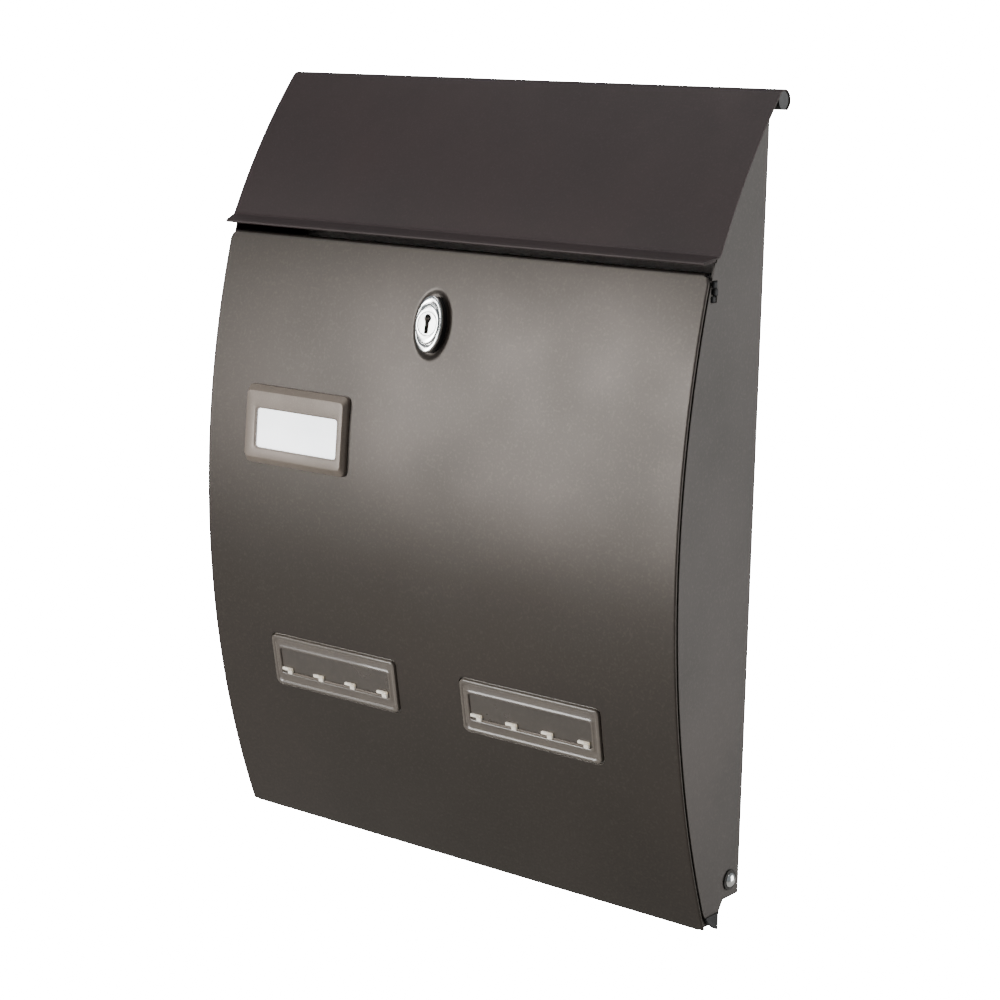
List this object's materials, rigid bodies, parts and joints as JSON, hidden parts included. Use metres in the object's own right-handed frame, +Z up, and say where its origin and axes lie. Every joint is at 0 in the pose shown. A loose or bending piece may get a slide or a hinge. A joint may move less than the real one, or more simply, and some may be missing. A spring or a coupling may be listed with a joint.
{
  "type": "wall mounted mailbox",
  "caption": "Wall-hung sheet-steel letter box with a bow-fronted drop-down door, hinged roof lid over the letter slot, cam lock, name plate and two sight windows.",
  "frame": {"origin": "centre of the four wall-screw holes, on the wall's face (the rear ends of the spacers)", "axes": "+X to the right seen from the front, -Y out from the wall towards the front, +Z up"},
  "size_m": [0.3056, 0.0836, 0.4034],
  "materials": {
    "casing_paint": "taupe grey satin powder coat",
    "door_paint": "gunmetal taupe metallic powder coat, satin",
    "lid_paint": "dark brown matt powder coat",
    "zinc": "bright zinc plate",
    "dark_washer": "dark fibre washer",
    "black_plastic": "black moulded plastic",
    "black_rubber": "black rubber",
    "lock_chrome": "polished chrome plate",
    "name_plastic": "taupe moulded plastic, fine grain",
    "card_paper": "plain white card",
    "clear_plastic": "clear polystyrene",
    "window_plastic": "smoked clear moulding, glossy",
    "pane_plastic": "smoked clear pane",
    "hook_plastic": "cream moulded plastic"
  },
  "bodies": {
    "casing": {"back_panel": "casing_paint", "side_panel_left": "casing_paint", "side_panel_right": "casing_paint", "bottom_panel": "casing_paint", "slot_rail": "casing_paint", "wall_spacers": "black_plastic", "casing_rivets": "casing_paint", "hinge_brackets": "casing_paint", "hinge_rod": "zinc", "rod_caps": "black_plastic", "door_bumpers": "black_rubber", "pivot_rivets": "zinc", "pivot_washers": "dark_washer"},
    "lid": {"lid": "lid_paint", "lid_bushes": "black_plastic"},
    "door": {"front_door": "door_paint", "door_ear_left": "casing_paint", "door_ear_right": "casing_paint", "lock_housing": "lock_chrome", "lock_nut": "zinc", "name_frame": "name_plastic", "name_card": "card_paper", "name_lens": "clear_plastic", "name_backplate": "black_plastic", "window_frame_left": "window_plastic", "window_frame_right": "window_plastic", "window_pane_left": "pane_plastic", "window_pane_right": "pane_plastic", "window_hooks": "hook_plastic"},
    "lock_core": {"lock_plug": "lock_chrome", "lock_cam": "zinc", "cam_nut": "zinc"}
  },
  "joints": [
    {"name": "lid_hinge", "type": "hinge", "parent": "casing", "child": "lid", "pos_m": [0, -0.0065, 0.1942], "axis": [-1, 0, 0], "range_deg": [0, 95]},
    {"name": "door_hinge", "type": "hinge", "parent": "casing", "child": "door", "pos_m": [0, -0.0235, -0.181], "axis": [1, 0, 0], "range_deg": [0, 85]},
    {"name": "lock_turn", "type": "hinge", "parent": "door", "child": "lock_core", "pos_m": [-0.0045, -0.06949, 0.0813], "axis": [0, 0.9794, -0.2019], "range_deg": [0, 90]}
  ]
}
